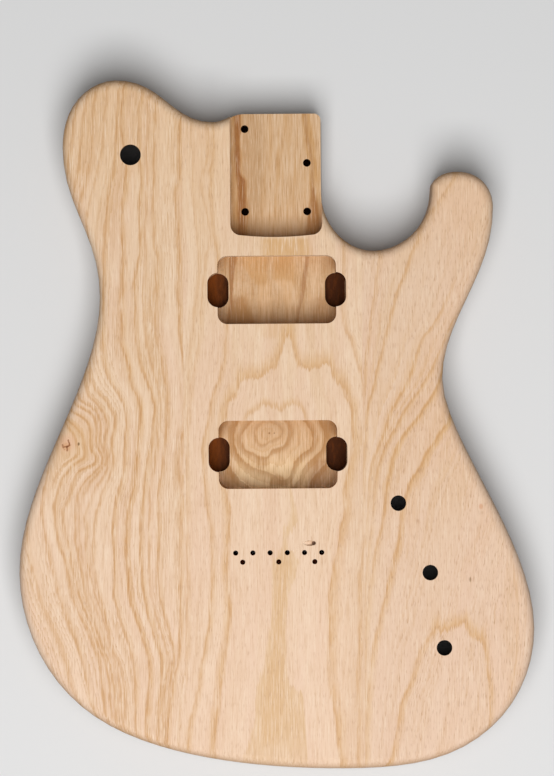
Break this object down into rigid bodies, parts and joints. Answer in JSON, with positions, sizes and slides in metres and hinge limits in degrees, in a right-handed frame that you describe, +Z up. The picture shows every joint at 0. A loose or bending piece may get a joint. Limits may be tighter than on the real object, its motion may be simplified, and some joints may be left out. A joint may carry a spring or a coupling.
{
  "type": "electric guitar body",
  "caption": "Bare ash body blank for a bolt-on electric guitar, rear routed, with contoured heel, two humbucker routs and a string-through bridge",
  "frame": {"origin": "on the back face, on the centre line, under the end wall of the neck pocket", "axes": "+X toward the treble side, +Y along the strings toward the neck, +Z up out of the front face; the body lies on its back"},
  "size_m": [0.3146, 0.4218, 0.0444],
  "materials": {
    "ash": "sanded bare ash, unfinished",
    "cover_plastic": "satin black",
    "screw_steel": "plated steel"
  },
  "bodies": {
    "root": {"bass_side_board": "ash", "centre_board": "ash", "treble_side_board": "ash", "control_cavity_cover": "cover_plastic", "switch_cavity_cover": "cover_plastic", "control_cover_screw_1": "screw_steel", "control_cover_screw_2": "screw_steel", "control_cover_screw_3": "screw_steel", "control_cover_screw_4": "screw_steel", "control_cover_screw_5": "screw_steel", "switch_cover_screw_1": "screw_steel", "switch_cover_screw_2": "screw_steel", "switch_cover_screw_3": "screw_steel"}
  },
  "joints": []
}
